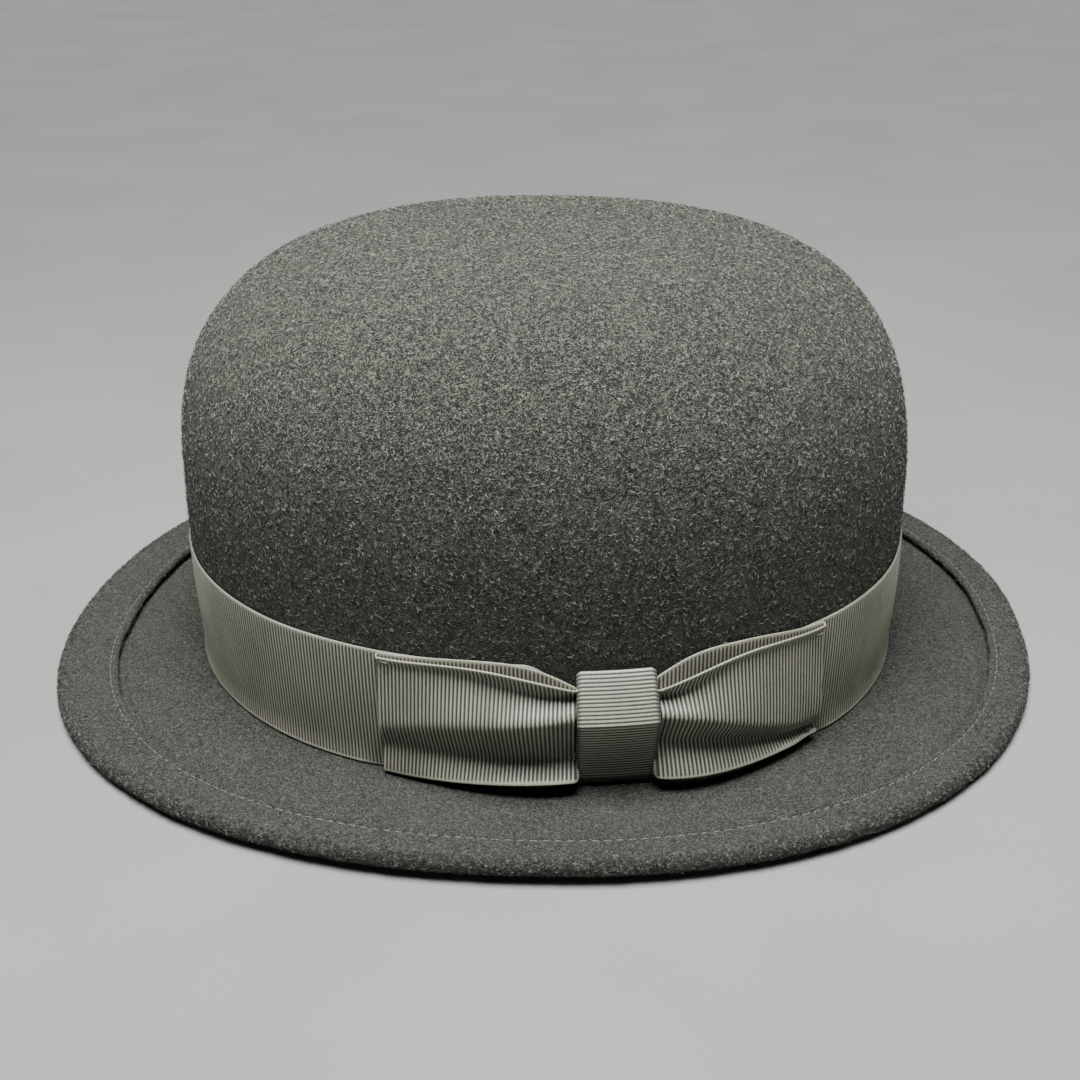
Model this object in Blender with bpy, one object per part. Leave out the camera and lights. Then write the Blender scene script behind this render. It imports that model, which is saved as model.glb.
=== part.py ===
"""A felt bowler hat, resting on its brim.

X runs from the front of the hat to its back, the wearer's left side, with the bow, is towards -Y, and
Z is up. The origin is the middle of the brim's outline, on the surface that the hat rests on. Every
part is made in place, in metres.
"""

import math

import bmesh
import bpy
from mathutils import Vector

MM = 0.001

# The felt body: one piece of felt, blocked into a crown and a brim.
FELT = 2.4 * MM
CROWN_BASE = (103.5 * MM, 87.8 * MM)  # half length and half width outside, where crown meets brim
CROWN_OVAL = 2.17  # exponent of the oval: 2 is an ellipse, and more is squarer
CROWN_CENTRE = (1.6 * MM, -0.5 * MM)
CROWN_HEIGHT = 123.0 * MM  # above the brim's upper face
CROWN_LEAN = 0.011  # the crown leans back by this much for each unit of height
WALL_HEIGHT = 43.8 * MM  # where the wall is widest and the dome starts
WALL_BULGE = 1.5 * MM
DOME_SIDE = 2 / 3.64  # powers of the dome's rounded profile
DOME_TOP = 2 / 3.02
BREAK_RADIUS = 0.5 * MM  # upper radius of the bend between wall and brim

# The brim and the welt, which is the brim's edge folded over onto its upper face.
BRIM = (146.8 * MM, 128.8 * MM)
BRIM_OVAL = 2.2
SADDLE = 1.4 * MM  # the brim's rim rises this far each way at the sides and dips at the ends
PRESSED_FLAT = 0.4 * MM  # the lowest felt is flattened by this much where it rests
WELT = (132.0 * MM, 116.8 * MM)  # half axes of the welt's raw inner edge
WELT_SHIFT = 3.2 * MM  # the welt is wider at the front than at the back
STITCH_INSET = 2.2 * MM  # from the welt's raw edge to its stitches

# Ribbons, thread and gaps.
GAP = 0.3 * MM
RIBBON = 0.6 * MM
RIBBON_WIDTH = 36.4 * MM
BAND_FOOT = 0.4 * MM
THREAD_RADIUS = 0.25 * MM

# The bow, measured along the wall from the middle of the hat's left side.
BOW_ENDS = (-33.2 * MM, 84.0 * MM)
KNOT_EDGES = (17.3 * MM, 36.8 * MM)
BOW_FOOT = 1.6 * MM  # height of the bow's lower edge at its ends
BOW_PUFF = 2.4 * MM  # how far the front layer stands off the back one in the middle of a wing
BOW_LEAD = 1.0 * MM  # and how much further it is lifted towards the knot
BOW_GATHER = 0.6  # the gathers run out over this share of a wing
PINCH = (4.3 * MM, 30.9 * MM)  # lowest and highest point of the front layer at the knot
BACK_STEP = 1.2 * MM  # the back layer reaches this much higher than the front one at the knot
KNOT_REACH = (3.0 * MM, 35.0 * MM)  # lowest and highest point of the knot
KNOT_DEPTH = 6.8 * MM
KNOT_CORNER = 2.4 * MM
KNOT_RIBBON = 0.4 * MM
TACK_LENGTH = 2.4 * MM
TACK_INSET = 3.5 * MM  # from the bow's end
TACK_HEIGHTS = (3.0 * MM, 35.2 * MM)
TACK_OUT = 4.5 * MM  # from the crown's felt to the middle of the thread

# Inside: leather sweatband, its reed and its own small bow, and the satin lining.
LEATHER = 0.9 * MM
SWEATBAND_INSET = 3.7 * MM  # from the crown's outer face to the back of the leather
SWEATBAND_TOP = 31.0 * MM
REED_RADIUS = 0.75 * MM
REED_PLACE = (3.45 * MM, 0.3 * MM)  # inset from the crown's outer face, and height
SEAM_PLACE = (2.4 * MM, -1.4 * MM)
SATIN = 0.4 * MM
LINING_INSET = 2.7 * MM
LINING_FOOT = 8.0 * MM
SIDE_LEVELS = (0.5, 1.0, 1.14, 1.3, 1.45, 1.55)  # levels of the lining's side above its foot
TIP_LEVELS = (1.6, 1.75, 1.9)
PIPING_RADIUS = 0.7 * MM
SMALL_BOW = (13.0 * MM, 8.0 * MM, 3.6 * MM)  # half length, height and half width of its knot
SMALL_BOW_FOOT = 3.0 * MM
SMALL_BOW_WAIST = 0.55  # its height beside the knot, as a share of its height at the ends
SMALL_BOW_GAP = 1.0 * MM  # from the leather to its knot
SMALL_BOW_CORNER = 0.6 * MM  # of its knot
SMALL_BOW_THICKNESS = 1.0 * MM

SEGMENTS = 64
BAND_LEVELS = [(BAND_FOOT + share * RIBBON_WIDTH) / WALL_HEIGHT for share in (0, 0.33, 0.67, 1)]
ANGLES = [2 * math.pi * k / SEGMENTS for k in range(SEGMENTS)]
LEFT = -math.pi / 2
BACK = 0.0


# ---------------------------------------------------------------- materials


def material(name, colour, roughness, metallic=0.0):
    finish = bpy.data.materials.new(name)
    finish.use_nodes = True
    shader = finish.node_tree.nodes["Principled BSDF"]
    shader.inputs["Base Color"].default_value = (*colour, 1.0)
    shader.inputs["Roughness"].default_value = roughness
    shader.inputs["Metallic"].default_value = metallic
    return finish


# ---------------------------------------------------------------- the hat's shape


def oval(half_x, half_y, power, angle):
    """A point of a squared-off ellipse."""
    c = math.cos(angle)
    s = math.sin(angle)
    x = half_x * math.copysign(abs(c) ** (2 / power), c)
    y = half_y * math.copysign(abs(s) ** (2 / power), s)
    return x, y


def smooth(t):
    t = min(1.0, max(0.0, t))
    return t * t * (3 - 2 * t)


def break_height(x, angle):
    """Height of the brim's lower face where it meets the crown."""
    return SADDLE * (1 + math.cos(2 * angle)) - CROWN_LEAN * x


def crown_point(inset, level, angle):
    """A point inset from the crown's outer face: levels 0 to 1 climb the wall, 1 to 2 the dome."""
    half_x, half_y = (half - inset for half in CROWN_BASE)
    shrink = 1.0
    if level <= 1:
        bulge = WALL_BULGE * (1 - (1 - level) ** 2)
        height = WALL_HEIGHT * level
    else:
        turn = min(1.0, level - 1) * math.pi / 2
        bulge = WALL_BULGE
        height = WALL_HEIGHT + (CROWN_HEIGHT - inset - WALL_HEIGHT) * math.sin(turn) ** DOME_TOP
        shrink = max(0.0, math.cos(turn)) ** DOME_SIDE
    x, y = oval((half_x + bulge) * shrink, (half_y + bulge) * shrink, CROWN_OVAL, angle)
    return seat(x, y, height, angle)


def seat(x, y, height, angle):
    """Places a crown point over the brim: it follows the saddle low down, and leans back."""
    fade = 1 - smooth((height - RIBBON_WIDTH) / (CROWN_HEIGHT - RIBBON_WIDTH))
    rise = SADDLE + SADDLE * math.cos(2 * angle) * fade - CROWN_LEAN * x
    z = FELT + height + rise - PRESSED_FLAT
    return Vector((CROWN_CENTRE[0] + x + CROWN_LEAN * height, CROWN_CENTRE[1] + y, max(0.0, z)))


def brim_point(outward, lift, angle):
    """A point of the brim: outward is 0 at the crown and 1 at the rim, lift is above its lower face."""
    inner = oval(*CROWN_BASE, CROWN_OVAL, angle)
    outer = oval(*BRIM, BRIM_OVAL, angle)
    x = (1 - outward) * (CROWN_CENTRE[0] + inner[0]) + outward * outer[0]
    y = (1 - outward) * (CROWN_CENTRE[1] + inner[1]) + outward * outer[1]
    at_break = break_height(inner[0], angle)
    at_rim = SADDLE * (1 - math.cos(2 * angle))
    share = smooth(outward)
    under = (1 - share) * at_break + share * at_rim - PRESSED_FLAT
    return Vector((x, y, max(0.0, under) + lift))


def brim_width(angle):
    inner = oval(*CROWN_BASE, CROWN_OVAL, angle)
    outer = oval(*BRIM, BRIM_OVAL, angle)
    return math.hypot(outer[0] - inner[0], outer[1] - inner[1])


def welt_outward(angle, inset=0.0):
    """How far out along the brim the welt's raw edge lies, or a line inset from it towards the rim."""
    edge = oval(WELT[0] + inset, WELT[1] + inset, BRIM_OVAL, angle)
    outer = oval(*BRIM, BRIM_OVAL, angle)
    distance = math.hypot(outer[0] - edge[0] - WELT_SHIFT * math.cos(angle) ** 2, outer[1] - edge[1])
    return 1 - distance / brim_width(angle)


def bend_point(radius, turn, angle):
    """A point of the bend between wall and brim: turn runs from 0 at the wall to 1 at the brim."""
    inner = oval(*CROWN_BASE, CROWN_OVAL, angle)
    normal = wall_normal(angle)
    out = BREAK_RADIUS - radius * math.cos(turn * math.pi / 2)
    height = BREAK_RADIUS - radius * math.sin(turn * math.pi / 2)
    return seat(inner[0] + normal.x * out, inner[1] + normal.y * out, height, angle)


# ---------------------------------------------------------------- places along the wall


def wall_normal(angle, step=0.001):
    before = Vector(oval(*CROWN_BASE, CROWN_OVAL, angle - step))
    after = Vector(oval(*CROWN_BASE, CROWN_OVAL, angle + step))
    along = (after - before).normalized()
    return Vector((along.y, -along.x, 0.0))


def angle_along(start, arc, steps=400):
    """The oval's angle at an arc length from a start angle, walked in small steps."""
    turn = math.copysign(math.pi / steps, arc)
    angle = start
    left = abs(arc)
    here = Vector(oval(*CROWN_BASE, CROWN_OVAL, angle))
    while True:
        there = Vector(oval(*CROWN_BASE, CROWN_OVAL, angle + turn))
        length = (there - here).length
        if length >= left:
            return angle + turn * left / length
        left -= length
        angle += turn
        here = there


def wall_point(start, arc, height, out):
    """A point at an arc length round the wall, at a height above the brim, out from the felt's face."""
    angle = angle_along(start, arc)
    x, y = oval(*CROWN_BASE, CROWN_OVAL, angle)
    level = min(1.0, max(0.0, height / WALL_HEIGHT))
    away = wall_normal(angle) * (out + WALL_BULGE * (1 - (1 - level) ** 2))
    return seat(x + away.x, y + away.y, height, angle)


# ---------------------------------------------------------------- building meshes


def add_object(name, data, finish):
    data.materials.append(finish)
    piece = bpy.data.objects.new(name, data)
    bpy.context.scene.collection.objects.link(piece)
    return piece


def skin(name, rings, finish, poles=(), wrap=False):
    """A closed solid through rings of points. It ends in poles, or wraps round to its first ring."""
    mesh = bpy.data.meshes.new(name)
    bm = bmesh.new()
    loops = [[bm.verts.new(point) for point in ring] for ring in rings]
    count = len(loops[0])
    pairs = list(zip(loops, loops[1:] + loops[:1])) if wrap else list(zip(loops, loops[1:]))
    for lower, upper in pairs:
        for k in range(count):
            n = (k + 1) % count
            bm.faces.new((lower[k], lower[n], upper[n], upper[k]))
    for pole, loop in zip(poles, (loops[0], loops[-1])):
        tip = bm.verts.new(pole)
        for k in range(count):
            bm.faces.new((loop[k], loop[(k + 1) % count], tip))
    bmesh.ops.recalc_face_normals(bm, faces=bm.faces)
    bm.to_mesh(mesh)
    bm.free()
    mesh.shade_smooth()
    mesh.set_sharp_from_angle(angle=math.radians(40))
    return add_object(name, mesh, finish)


def hoop(name, section, finish):
    """A closed hoop round the crown: section lists the points of its cross-section at an angle."""
    outlines = [section(angle) for angle in ANGLES]
    rings = [[outline[k] for outline in outlines] for k in range(len(outlines[0]))]
    return skin(name, rings, finish, wrap=True)


def tube(name, points, radius, finish, cyclic=True, sides=0):
    """A round cord through points, closed on itself or with filled ends."""
    data = bpy.data.curves.new(name, "CURVE")
    data.dimensions = "3D"
    data.bevel_depth = radius
    data.bevel_resolution = sides
    data.use_fill_caps = not cyclic
    spline = data.splines.new("POLY")
    spline.points.add(len(points) - 1)
    for slot, point in zip(spline.points, points):
        slot.co = (*point, 1.0)
    spline.use_cyclic_u = cyclic
    return add_object(name, data, finish)


# ---------------------------------------------------------------- sub-parts


def make_felt_body(felt):
    """The crown and the brim, one felt thick, with the welt folded over at the rim."""
    rings = []

    def ring(place):
        rings.append([place(angle) for angle in ANGLES])

    for level in (1.94, 1.86, 1.76, 1.64, 1.52, 1.40, 1.28, 1.16, 1.06, 1.0, *reversed(BAND_LEVELS[1:])):
        ring(lambda angle: crown_point(0.0, level, angle))
    for turn in (0.0, 0.5):
        ring(lambda angle: bend_point(BREAK_RADIUS, turn, angle))
    for share in (0.1, 0.4, 0.7, 1.0):
        ring(lambda angle: brim_point(0.05 + share * (welt_outward(angle) - 0.05), FELT, angle))
    ring(lambda angle: brim_point(welt_outward(angle), 2 * FELT, angle))
    ring(lambda angle: brim_point(1 - FELT / brim_width(angle), 2 * FELT, angle))
    for turn in (45, 90, 135):
        out = FELT * (1 - math.sin(math.radians(turn)))
        lift = FELT * (1 + math.cos(math.radians(turn)))
        ring(lambda angle: brim_point(1 - out / brim_width(angle), lift, angle))
    for share in (1.0, 0.93, 0.85, 0.6, 0.35, 0.12):
        ring(lambda angle: brim_point(share * (1 - FELT / brim_width(angle)), 0.0, angle))
    for turn in (0.75, 0.4):
        ring(lambda angle: bend_point(BREAK_RADIUS + FELT, turn, angle))
    for level in (0.1, *SIDE_LEVELS, *TIP_LEVELS):
        ring(lambda angle: crown_point(FELT, level, angle))
    poles = (crown_point(0.0, 2.0, 0.0), crown_point(FELT, 2.0, 0.0))
    return skin("felt_body", rings, felt, poles=poles)


def make_welt_thread(thread):
    """The line of stitches that holds the welt down."""
    lift = 2 * FELT + GAP + THREAD_RADIUS
    points = [brim_point(welt_outward(angle, STITCH_INSET), lift, angle) for angle in ANGLES]
    return tube("welt_thread", points, THREAD_RADIUS, thread)


def make_ribbon_band(ribbon):
    """The ribbon round the foot of the crown."""

    def section(angle):
        outside = [crown_point(-GAP - RIBBON, level, angle) for level in BAND_LEVELS]
        inside = [crown_point(-GAP, level, angle) for level in reversed(BAND_LEVELS)]
        return outside + inside

    return hoop("ribbon_band", section, ribbon)


def bow_edges(arc, lowest, highest):
    """Height of the bow's lower and upper edge: full ribbon at its ends, gathered in at the knot."""
    middle = sum(KNOT_EDGES) / 2
    knot = (KNOT_EDGES[1] - KNOT_EDGES[0]) / 2
    end = BOW_ENDS[0] if arc < middle else BOW_ENDS[1]
    share = smooth((abs(arc - middle) - knot) / (BOW_GATHER * abs(end - middle) - knot))
    full_high = BOW_FOOT + RIBBON_WIDTH
    return lowest + share * (BOW_FOOT - lowest), highest + share * (full_high - highest)


def make_bow_loop(ribbon):
    """A flat loop of ribbon, gathered in the middle: one layer along the band and one puffed in front."""
    base = 2 * GAP + RIBBON
    middle = sum(KNOT_EDGES) / 2
    steps = 10
    path = []
    for k in range(2 * steps + 1):  # the front layer, from one end to the other
        wing = k / steps - 1
        end = BOW_ENDS[0] if wing < 0 else BOW_ENDS[1]
        arc = middle + abs(wing) * (end - middle)
        puff = BOW_PUFF * math.sin(math.pi * abs(wing) ** 0.8) + BOW_LEAD * (1 - abs(wing))
        path.append((arc, base + 2 * RIBBON + GAP + puff, PINCH))
    for k in range(2 * steps - 1, 0, -1):  # the back layer, back again
        wing = k / steps - 1
        end = BOW_ENDS[0] if wing < 0 else BOW_ENDS[1]
        arc = middle + abs(wing) * (end - middle)
        lifted = (RIBBON + GAP) * (1 - smooth((abs(wing) - 0.2) / 0.3))
        path.append((arc, base + lifted, (PINCH[0], PINCH[1] + BACK_STEP)))
    rings = [[] for _ in range(6)]
    count = len(path)
    for k, (arc, out, pinch) in enumerate(path):
        before = path[k - 1]
        after = path[(k + 1) % count]
        along = Vector((after[0] - before[0], after[1] - before[1])).normalized()
        side = Vector((along.y, -along.x)) * RIBBON / 2
        low, high = bow_edges(arc, *pinch)
        centre = (low + high) / 2
        corners = ((-1, low), (-1, centre), (-1, high), (1, high), (1, centre), (1, low))
        for ring, (face, height) in zip(rings, corners):
            ring.append(wall_point(LEFT, arc + face * side.x, height, out + RIBBON / 2 + face * side.y))
    return skin("bow_loop", rings, ribbon, wrap=True)


def make_knot(name, start, edges, reach, base, depth, corner, thickness, finish, side=1):
    """A strip of ribbon wrapped round the middle of a bow, as a ring in a plane across the wall."""
    low, high = reach
    outline = []
    for out, height, turn in (
        (depth - corner, high - corner, 0), (corner, high - corner, 90),
        (corner, low + corner, 180), (depth - corner, low + corner, 270),
    ):
        for step in (0, 30, 60, 90):
            angle = math.radians(turn + step)
            outline.append((out, height, math.cos(angle), math.sin(angle)))
    rings = []
    shares = (0.0, 0.33, 0.67, 1.0)
    places = [(share, 0.0) for share in shares] + [(share, thickness) for share in reversed(shares)]
    for share, shrink in places:
        arc = edges[0] + share * (edges[1] - edges[0])
        ring = []
        for out, height, c, s in outline:
            radius = corner - shrink
            ring.append(wall_point(start, arc, height + radius * s, side * (base + out + radius * c)))
        rings.append(ring)
    return skin(name, rings, finish, wrap=True)


def make_tack(name, arc, height, out, finish):
    """One short, tight stitch that holds a corner of the bow."""
    points = []
    for step in range(5):
        share = step / 4 - 0.5
        points.append(wall_point(LEFT, arc + share * TACK_LENGTH, height, out - 2 * share * share * GAP))
    return tube(name, points, 1.4 * THREAD_RADIUS, finish, cyclic=False)


def make_bow(ribbon, thread):
    make_bow_loop(ribbon)
    base = 2 * GAP + RIBBON
    make_knot("bow_knot", LEFT, KNOT_EDGES, KNOT_REACH, base, KNOT_DEPTH, KNOT_CORNER, KNOT_RIBBON, ribbon)
    low, high = TACK_HEIGHTS
    front = BOW_ENDS[0] + TACK_INSET
    back = BOW_ENDS[1] - TACK_INSET
    make_tack("bow_tack_front", front, high, TACK_OUT, thread)
    make_tack("bow_tack_back", back, high, TACK_OUT, thread)
    make_tack("bow_tack_back_low", back, low, TACK_OUT, thread)


def inside_place(inset, height, angle):
    """A point inset from the crown's outer face, also for heights below the brim's upper face."""
    x, y = oval(*CROWN_BASE, CROWN_OVAL, angle)
    away = wall_normal(angle) * -inset
    return seat(x + away.x, y + away.y, height, angle)


def make_sweatband(leather):
    """The leather band, whose lower edge curls round the reed."""
    back = SWEATBAND_INSET
    face = back + LEATHER
    outline = (
        (face, SWEATBAND_TOP), (face, 12 * MM), (face + 0.4 * MM, 5 * MM), (face + 0.8 * MM, 1.5 * MM),
        (face + 0.7 * MM, -0.3 * MM), (face, -1.3 * MM), (back - 0.1 * MM, -1.6 * MM),
        (back - 0.3 * MM, -0.8 * MM), (back + 0.4 * MM, -0.5 * MM), (back + 0.8 * MM, 0.2 * MM),
        (back + 0.8 * MM, 1.5 * MM), (back + 0.4 * MM, 5 * MM), (back, 12 * MM), (back, SWEATBAND_TOP),
    )

    def section(angle):
        return [inside_place(inset, height, angle) for inset, height in outline]

    return hoop("sweatband", section, leather)


def make_inner_hoops(reed, thread, satin):
    """The thin rings inside: reed, sweatband stitching, lining stitching and the lining's piping."""
    rings = (
        ("sweatband_reed", REED_PLACE, REED_RADIUS, reed, 1),
        ("sweatband_thread", SEAM_PLACE, THREAD_RADIUS, thread, 0),
        ("lining_thread", (LINING_INSET + 0.35 * MM, LINING_FOOT - 2 * MM), THREAD_RADIUS, thread, 0),
    )
    for name, (inset, height), radius, finish, sides in rings:
        points = [inside_place(inset, height, angle) for angle in ANGLES]
        tube(name, points, radius, finish, sides=sides)
    inset = LINING_INSET + PIPING_RADIUS + SATIN
    seam = (SIDE_LEVELS[-1] + TIP_LEVELS[0]) / 2
    points = [crown_point(inset, seam, angle) for angle in ANGLES]
    tube("lining_piping", points, PIPING_RADIUS, satin, sides=1)


def make_lining(satin):
    """The satin lining: a side that runs up the wall, and an oval tip over the head."""
    near = LINING_INSET
    far = LINING_INSET + SATIN
    levels = (LINING_FOOT / WALL_HEIGHT, *SIDE_LEVELS)

    def section(angle):
        outside = [crown_point(near, level, angle) for level in levels]
        inside = [crown_point(far, level, angle) for level in reversed(levels)]
        return outside + inside

    hoop("lining_side", section, satin)
    rings = []
    for inset, levels in ((near, reversed(TIP_LEVELS)), (far, TIP_LEVELS)):
        for level in levels:
            rings.append([crown_point(inset, level, angle) for angle in ANGLES])
    poles = [crown_point(inset, 2.0, 0.0) for inset in (near, far)]
    skin("lining_tip", rings, satin, poles=poles)


def make_small_bow(ribbon):
    """The little bow that covers the joint of the sweatband at the back of the head."""
    half, height, knot = SMALL_BOW
    base = SWEATBAND_INSET + LEATHER + SMALL_BOW_GAP
    arcs = [half * (k / 6 - 1) for k in range(13)]
    rings = [[], [], [], []]
    for face, upper, ring in ((0, 0, rings[0]), (0, 1, rings[1]), (1, 1, rings[2]), (1, 0, rings[3])):
        for arc in arcs:
            waist = SMALL_BOW_WAIST + (1 - SMALL_BOW_WAIST) * smooth((abs(arc) - knot / 2) / (half - knot))
            level = SMALL_BOW_FOOT + height / 2 + (upper - 0.5) * height * waist
            out = base + KNOT_RIBBON + GAP + face * SMALL_BOW_THICKNESS
            ring.append(wall_point(BACK, arc, level, -out))
    mesh = bpy.data.meshes.new("sweatband_bow")
    bm = bmesh.new()
    strips = [[bm.verts.new(point) for point in ring] for ring in rings]
    for near, far in zip(strips, strips[1:] + strips[:1]):
        for k in range(len(arcs) - 1):
            bm.faces.new((near[k], near[k + 1], far[k + 1], far[k]))
    for k in (0, -1):
        bm.faces.new([strip[k] for strip in strips])
    bmesh.ops.recalc_face_normals(bm, faces=bm.faces)
    bm.to_mesh(mesh)
    bm.free()
    add_object("sweatband_bow", mesh, ribbon)
    reach = (SMALL_BOW_FOOT + 0.9 * MM, SMALL_BOW_FOOT + height - 0.9 * MM)
    edges = (-knot / 2, knot / 2)
    depth = SMALL_BOW_THICKNESS + 2 * (KNOT_RIBBON + GAP)
    corner = SMALL_BOW_CORNER
    make_knot("sweatband_bow_knot", BACK, edges, reach, base, depth, corner, KNOT_RIBBON, ribbon, side=-1)


def main():
    for piece in list(bpy.data.objects):
        bpy.data.objects.remove(piece, do_unlink=True)
    felt = material("felt", (0.030, 0.034, 0.030), 0.95)
    ribbon = material("ribbon", (0.070, 0.072, 0.062), 0.6)
    thread = material("thread", (0.16, 0.17, 0.15), 0.6)
    leather = material("leather", (0.045, 0.030, 0.022), 0.5)
    satin = material("satin", (0.020, 0.020, 0.022), 0.35)
    reed = material("reed", (0.35, 0.32, 0.26), 0.5)
    make_felt_body(felt)
    make_welt_thread(thread)
    make_ribbon_band(ribbon)
    make_bow(ribbon, thread)
    make_sweatband(leather)
    make_inner_hoops(reed, thread, satin)
    make_lining(satin)
    make_small_bow(ribbon)


main()
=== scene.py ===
"""The looks of a felt bowler hat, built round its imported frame.

Metres, +Z up: +X runs to the back of the hat, and -Y to the wearer's left, where the bow is.
"""

import math

import bpy
import numpy as np
from mathutils import Matrix, Vector


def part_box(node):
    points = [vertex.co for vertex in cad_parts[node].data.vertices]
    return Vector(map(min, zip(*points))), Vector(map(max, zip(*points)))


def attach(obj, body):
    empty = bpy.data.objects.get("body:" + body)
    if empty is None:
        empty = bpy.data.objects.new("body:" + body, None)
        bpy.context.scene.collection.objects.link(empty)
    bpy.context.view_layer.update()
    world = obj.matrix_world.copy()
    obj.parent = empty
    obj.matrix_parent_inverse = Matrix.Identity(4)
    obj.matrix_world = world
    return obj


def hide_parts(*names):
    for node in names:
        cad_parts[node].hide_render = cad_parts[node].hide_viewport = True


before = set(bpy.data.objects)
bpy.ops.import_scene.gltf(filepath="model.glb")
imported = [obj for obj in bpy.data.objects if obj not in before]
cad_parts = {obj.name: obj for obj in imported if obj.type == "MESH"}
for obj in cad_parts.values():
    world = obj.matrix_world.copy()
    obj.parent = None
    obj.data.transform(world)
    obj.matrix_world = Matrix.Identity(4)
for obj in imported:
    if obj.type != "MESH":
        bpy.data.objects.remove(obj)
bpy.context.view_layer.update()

MM = 0.001
TURN = 2 * math.pi
LEFT = -math.pi / 2
BACK = 0.0

# The felt, as the design gives it; its outline and height come from the frame.
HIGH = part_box("felt_body")[1]
FELT = 2.4 * MM
CROWN_BASE = (103.5 * MM, 87.8 * MM)
CROWN_OVAL = 2.17
CROWN_CENTRE = (1.6 * MM, -0.5 * MM)
CROWN_LEAN = 0.011
WALL_HEIGHT = 43.8 * MM
WALL_BULGE = 1.5 * MM
DOME_SIDE = 2 / 3.64
DOME_TOP = 2 / 3.02
BREAK_RADIUS = 0.5 * MM
BRIM = (HIGH[0], HIGH[1])
BRIM_OVAL = 2.2
SADDLE = 1.4 * MM
PRESSED_FLAT = 0.4 * MM
CROWN_HEIGHT = HIGH[2] - FELT - SADDLE + PRESSED_FLAT
WELT = (132.0 * MM, 116.8 * MM)  # half sizes of its raw edge
WELT_SHIFT = 3.2 * MM
STITCH_INSET = 2.2 * MM
WELT_STITCHES = 270
STITCH_SHARE = 0.8  # of a stitch's pitch that its thread covers
RIBBON_WIDTH = 36.4 * MM
BAND_FOOT = 0.4 * MM
BAND_DIP = 7.0 * MM

# Looks of the felt, and the kinds of its rings by the loose fibres on them.
BARE, CROWN, BRIM_TOP, RIM, UNDERSIDE = range(5)
FELT_SEGMENTS = 400
UNEVEN = 0.16 * MM  # how far the felt wanders from a true surface
RAW_EDGE_WANDER = 0.22 * MM
FIBRES_PER_PIECE = 19500
NAP_FOOT = 1.3 * MM  # no loose fibres below this, where the rim rests
FIBRE_RADIUS = 0.07 * MM

# Ribbons.
RIB_PITCH = 1.02 * MM
RIB_HEIGHT = 0.3 * MM
RIBBON = 0.42 * MM
SELVEDGE = 0.9 * MM
COLUMNS_PER_RIB = 4
# Places along the wall are measured from the middle of the hat's left side.
BOW_ENDS = (-33.2 * MM, 84.0 * MM)
KNOT_EDGES = (17.3 * MM, 36.8 * MM)
KNOT_MIDDLE = sum(KNOT_EDGES) / 2
BACK_LAYER = 1.55 * MM  # out from the felt
WING_END = 2.6 * MM

# Inside. Insets are measured from the crown's outer face.
SWEATBAND_SEGMENTS = 360
SWEATBAND_INSET = 3.7 * MM
SWEATBAND_TOP = 31.0 * MM
SWEATBAND_STITCHES = 230
LEATHER = 0.9 * MM
REED_INSET = 3.45 * MM
REED_HEIGHT = 0.3 * MM
REED_RADIUS = 0.72 * MM
LINING_SEGMENTS = 480
LINING_STITCHES = 120
LINING_INSET = 2.7 * MM
LINING_FOOT = 8.0 * MM
SATIN = 0.4 * MM
SEAM_LEVEL = 1.575  # of the crown's profile, where the lining's side meets its tip

# The camera. Its angles are in degrees.
CAMERA_PLACE = (50.0 * MM, -410.7 * MM, 232.2 * MM)
CAMERA_AZIMUTH = 6.89
CAMERA_ELEVATION = 26.15
CAMERA_ROLL = -1.52


# ------------------------ the hat's shape


def oval(half_x, half_y, power, angle):
    """Points of a squared-off ellipse."""
    c = np.cos(angle)
    s = np.sin(angle)
    x = half_x * np.sign(c) * np.abs(c) ** (2 / power)
    y = half_y * np.sign(s) * np.abs(s) ** (2 / power)
    return x, y


def smooth(t):
    t = np.clip(t, 0.0, 1.0)
    return t * t * (3 - 2 * t)


def mix(a, b, t):
    return a + (b - a) * t


def seat(x, y, height, angle):
    """Places crown points over the brim: they follow the saddle low down, and lean back."""
    fade = 1 - smooth((height - RIBBON_WIDTH) / (CROWN_HEIGHT - RIBBON_WIDTH))
    rise = SADDLE + SADDLE * np.cos(2 * angle) * fade - CROWN_LEAN * x
    z = np.maximum(0.0, FELT + height + rise - PRESSED_FLAT)
    x = CROWN_CENTRE[0] + x + CROWN_LEAN * height
    return np.stack(np.broadcast_arrays(x, CROWN_CENTRE[1] + y, z), axis=-1)


def crown_point(inset, level, angle):
    """Points inset from the crown's outer face: levels 0 to 1 climb the wall, 1 to 2 the dome."""
    wall = np.minimum(1.0, level)
    turn = np.clip(level - 1, 0.0, 1.0) * math.pi / 2
    bulge = WALL_BULGE * (1 - (1 - wall) ** 2)
    height = WALL_HEIGHT * wall + (CROWN_HEIGHT - inset - WALL_HEIGHT) * np.sin(turn) ** DOME_TOP
    shrink = np.maximum(0.0, np.cos(turn)) ** DOME_SIDE
    half_x, half_y = (half - inset + bulge for half in CROWN_BASE)
    x, y = oval(half_x * shrink, half_y * shrink, CROWN_OVAL, angle)
    return seat(x, y, height, angle)


def brim_point(outward, lift, angle):
    """Points of the brim: outward is 0 at the wall and 1 at the rim, lift is above the lower face."""
    inner = oval(*CROWN_BASE, CROWN_OVAL, angle)
    outer = oval(*BRIM, BRIM_OVAL, angle)
    x = mix(CROWN_CENTRE[0] + inner[0], outer[0], outward)
    y = mix(CROWN_CENTRE[1] + inner[1], outer[1], outward)
    at_break = SADDLE * (1 + np.cos(2 * angle)) - CROWN_LEAN * inner[0]
    at_rim = SADDLE * (1 - np.cos(2 * angle))
    under = mix(at_break, at_rim, smooth(outward)) - PRESSED_FLAT
    z = np.maximum(0.0, under) + lift
    return np.stack(np.broadcast_arrays(x, y, z), axis=-1)


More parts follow.
